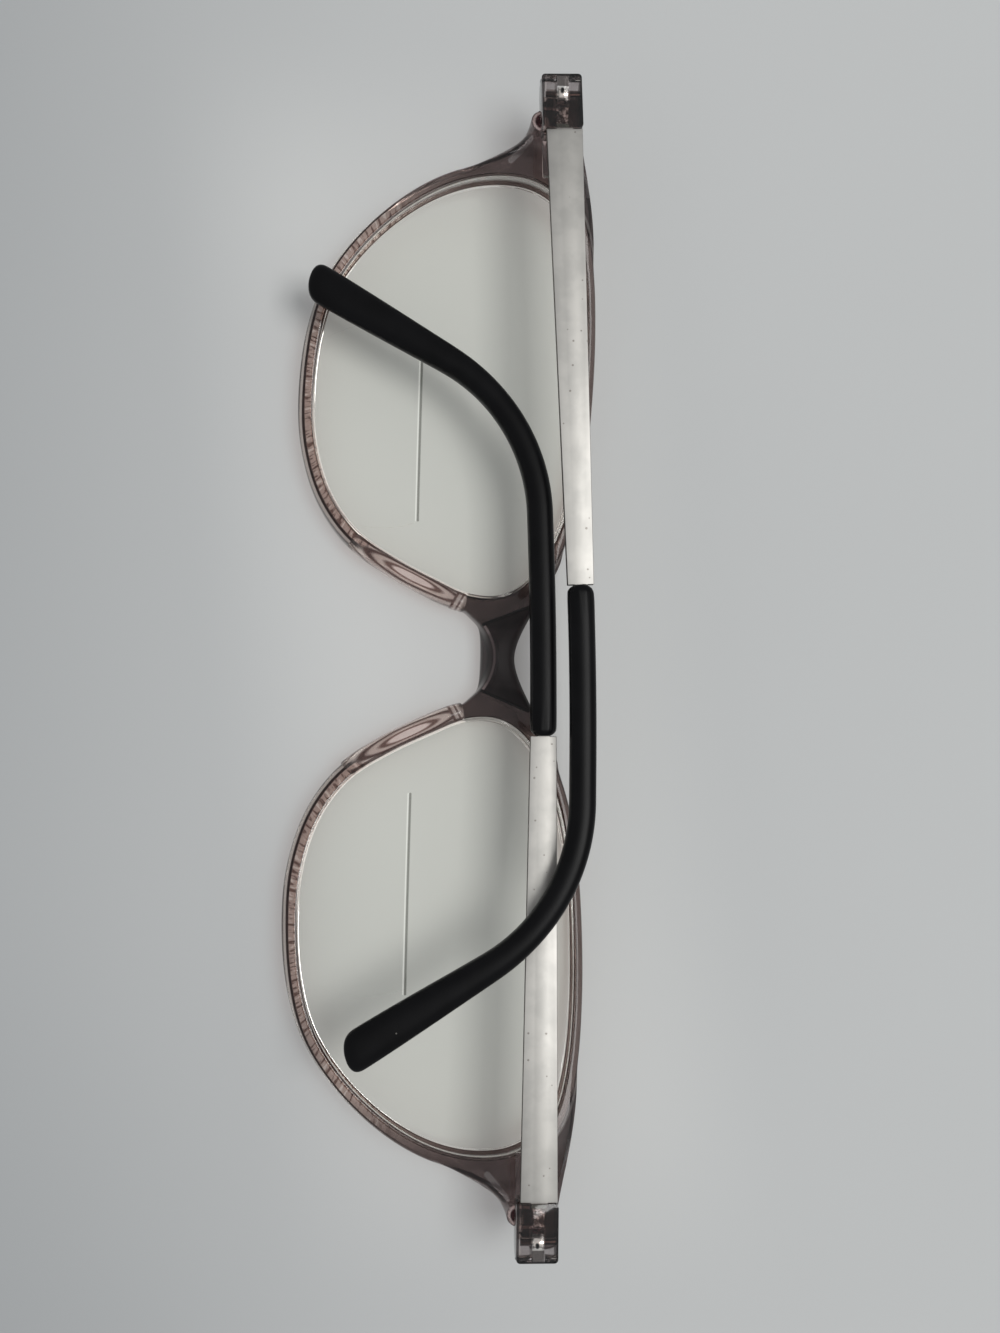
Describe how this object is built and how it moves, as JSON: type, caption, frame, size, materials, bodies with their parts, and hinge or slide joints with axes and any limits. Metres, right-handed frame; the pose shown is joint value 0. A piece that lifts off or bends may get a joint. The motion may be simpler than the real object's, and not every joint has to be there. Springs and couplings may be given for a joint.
{
  "type": "cat eye eyeglasses",
  "caption": "Cat eye eyeglasses with a see-through front, reading lenses, clear saddle nose pads, metal strip temples and dark bent ear tips that fold over each other.",
  "frame": {"origin": "on the table under the middle of the eyeglasses, which lie on the front faces of their rims with the temples folded", "axes": "+X to the wearer's right, +Y to the brow, +Z away from the table, towards the wearer"},
  "size_m": [0.1373, 0.0362, 0.0156],
  "materials": {
    "front_plastic": "see-through taupe brown, polished",
    "lens": "clear, coated, with a D-shaped reading segment",
    "pad_plastic": "clear, pinkish, polished",
    "hinge_metal": "bright, polished",
    "block_plastic": "see-through smoke, polished",
    "strip_metal": "matte silver titanium, finely blasted, with small pits",
    "tip_plastic": "soft matte black"
  },
  "bodies": {
    "front": {"front": "front_plastic", "lens_left": "lens", "lens_right": "lens", "nose_pad_left": "pad_plastic", "nose_pad_right": "pad_plastic", "hinge_leaf_left": "hinge_metal", "hinge_leaf_right": "hinge_metal"},
    "temple_left": {"hinge_pin_left": "hinge_metal", "hinge_block_left": "block_plastic", "temple_strip_left": "strip_metal", "temple_tip_left": "tip_plastic"},
    "temple_right": {"hinge_pin_right": "hinge_metal", "hinge_block_right": "block_plastic", "temple_strip_right": "strip_metal", "temple_tip_right": "tip_plastic"}
  },
  "joints": [
    {"name": "hinge_left", "type": "hinge", "parent": "front", "child": "temple_left", "pos_m": [-0.0664, 0.01215, 0.01205], "axis": [0.054, -0.9979, -0.0349], "range_deg": [0, 89]},
    {"name": "hinge_right", "type": "hinge", "parent": "front", "child": "temple_right", "pos_m": [0.0664, 0.01215, 0.01205], "axis": [-0.0087, 0.9994, 0.0349], "range_deg": [0, 92]}
  ]
}
